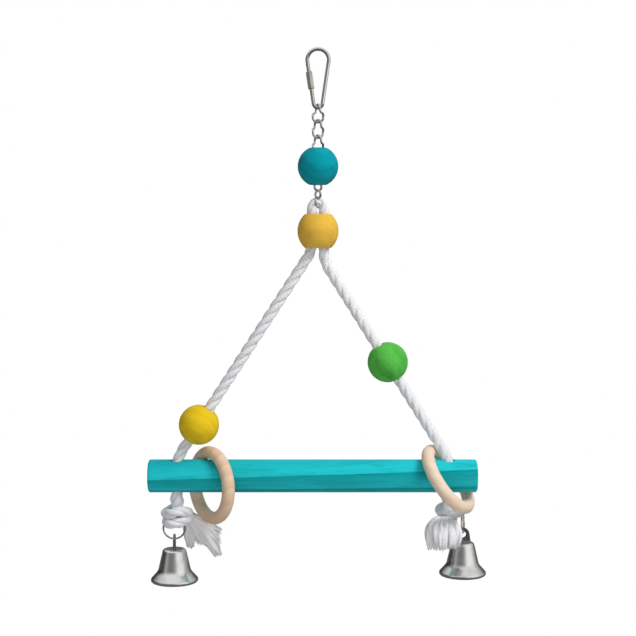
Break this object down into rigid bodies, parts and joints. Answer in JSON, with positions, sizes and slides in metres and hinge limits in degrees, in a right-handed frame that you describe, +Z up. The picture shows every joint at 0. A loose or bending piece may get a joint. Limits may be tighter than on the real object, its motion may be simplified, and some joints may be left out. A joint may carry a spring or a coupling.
{
  "type": "bird swing",
  "caption": "Bird swing: a stained wooden perch on a doubled cotton rope, hung by a twisted chain and screw quick link, with wooden beads, wooden rings and nickel bells.",
  "frame": {"origin": "inside the quick link's eye, at the highest point of its inner edge, where the swing hangs", "axes": "+Z up, the perch along X, -Y towards the viewer"},
  "size_m": [0.1864, 0.0429, 0.2919],
  "materials": {
    "nickel_wire": "bright nickel plate with fine wear",
    "bell_nickel": "polished nickel plate",
    "turquoise_wood": "stained wood, satin, grain showing along the length",
    "blue_wood": "stained wood, satin",
    "yellow_wood": "stained wood, satin",
    "lemon_wood": "stained wood, satin",
    "green_wood": "stained wood, satin",
    "beech": "plain turned wood, unvarnished",
    "cotton_rope": "laid cotton, matt",
    "cotton_fringe": "loose cotton yarn, matt"
  },
  "bodies": {
    "quick_link": {"quick_link": "nickel_wire"},
    "sleeve": {"quick_link_sleeve": "nickel_wire"},
    "link_1": {"chain_link_1": "nickel_wire"},
    "link_2": {"chain_link_2": "nickel_wire"},
    "link_3": {"chain_link_3": "nickel_wire"},
    "chain_bead": {"turquoise_bead": "blue_wood", "chain_link_4": "nickel_wire", "chain_link_5": "nickel_wire"},
    "link_6": {"chain_link_6": "nickel_wire"},
    "swing": {"rope_ring": "nickel_wire", "rope": "cotton_rope", "top_bead": "yellow_wood", "perch": "turquoise_wood", "left_knot": "cotton_rope", "right_knot": "cotton_rope", "left_tassel": "cotton_fringe", "right_tassel": "cotton_fringe"},
    "left_bead": {"left_bead": "lemon_wood"},
    "right_bead": {"right_bead": "green_wood"},
    "left_ring": {"left_ring": "beech"},
    "right_ring": {"right_ring": "beech"},
    "left_bell_ring": {"left_bell_ring": "nickel_wire"},
    "left_bell": {"left_bell": "bell_nickel", "left_bell_tab": "bell_nickel"},
    "left_clapper": {"left_clapper": "bell_nickel"},
    "right_bell_ring": {"right_bell_ring": "nickel_wire"},
    "right_bell": {"right_bell": "bell_nickel", "right_bell_tab": "bell_nickel"},
    "right_clapper": {"right_clapper": "bell_nickel"}
  },
  "joints": [
    {"name": "sleeve_run", "type": "slide", "parent": "quick_link", "child": "sleeve", "axis": [0.1466, 0, -0.9892], "range_m": [0, 0.0065]},
    {"name": "link_1_swing", "type": "hinge", "parent": "quick_link", "child": "link_1", "pos_m": [0, 0, -0.0304], "axis": [1, 0, 0], "range_deg": [-25, 25]},
    {"name": "link_2_swing", "type": "hinge", "parent": "link_1", "child": "link_2", "pos_m": [0, 0, -0.0383], "axis": [0.9986, 0.0523, 0], "range_deg": [-25, 25]},
    {"name": "link_3_swing", "type": "hinge", "parent": "link_2", "child": "link_3", "pos_m": [0, 0, -0.0466], "axis": [0.9511, 0.309, 0], "range_deg": [-20, 20]},
    {"name": "chain_bead_swing", "type": "hinge", "parent": "link_3", "child": "chain_bead", "pos_m": [0, 0, -0.0549], "axis": [0.9563, 0.2924, 0], "range_deg": [-5, 5]},
    {"name": "link_6_swing", "type": "hinge", "parent": "chain_bead", "child": "link_6", "pos_m": [0, 0, -0.0715], "axis": [0.7547, -0.6561, 0], "range_deg": [-5, 5]},
    {"name": "perch_swing", "type": "hinge", "parent": "link_6", "child": "swing", "pos_m": [0, 0, -0.07855], "axis": [0, 1, 0], "range_deg": [-20, 20]},
    {"name": "left_bead_slide", "type": "slide", "parent": "swing", "child": "left_bead", "axis": [0.5449, 0, 0.8385], "range_m": [-0.003, 0.085]},
    {"name": "right_bead_slide", "type": "slide", "parent": "swing", "child": "right_bead", "axis": [-0.5337, 0, 0.8457], "range_m": [-0.03, 0.036]},
    {"name": "left_ring_slide", "type": "slide", "parent": "swing", "child": "left_ring", "axis": [1, 0, 0], "range_m": [0, 0.085]},
    {"name": "right_ring_turn", "type": "hinge", "parent": "swing", "child": "right_ring", "pos_m": [0, 0, -0.23105], "axis": [1, 0, 0], "range_deg": [-25, 0]},
    {"name": "left_bell_ring_turn", "type": "hinge", "parent": "swing", "child": "left_bell_ring", "pos_m": [-0.0791, 0, -0.25995], "axis": [0, 1, 0], "range_deg": [-25, 25]},
    {"name": "left_bell_swing", "type": "hinge", "parent": "left_bell_ring", "child": "left_bell", "pos_m": [-0.0791, 0, -0.26595], "axis": [1, 0, 0], "range_deg": [-30, 30]},
    {"name": "left_clapper_swing", "type": "hinge", "parent": "left_bell", "child": "left_clapper", "pos_m": [-0.0791, 0, -0.2765], "axis": [0, 1, 0], "range_deg": [-20, 20]},
    {"name": "right_bell_ring_turn", "type": "hinge", "parent": "swing", "child": "right_bell_ring", "pos_m": [0.0805, 0.008, -0.25815], "axis": [1, 0, 0], "range_deg": [-25, 25]},
    {"name": "right_bell_swing", "type": "hinge", "parent": "right_bell_ring", "child": "right_bell", "pos_m": [0.0805, 0.008, -0.26415], "axis": [0, 1, 0], "range_deg": [-30, 30]},
    {"name": "right_clapper_swing", "type": "hinge", "parent": "right_bell", "child": "right_clapper", "pos_m": [0.0805, 0.008, -0.2747], "axis": [1, 0, 0], "range_deg": [-20, 20]}
  ]
}
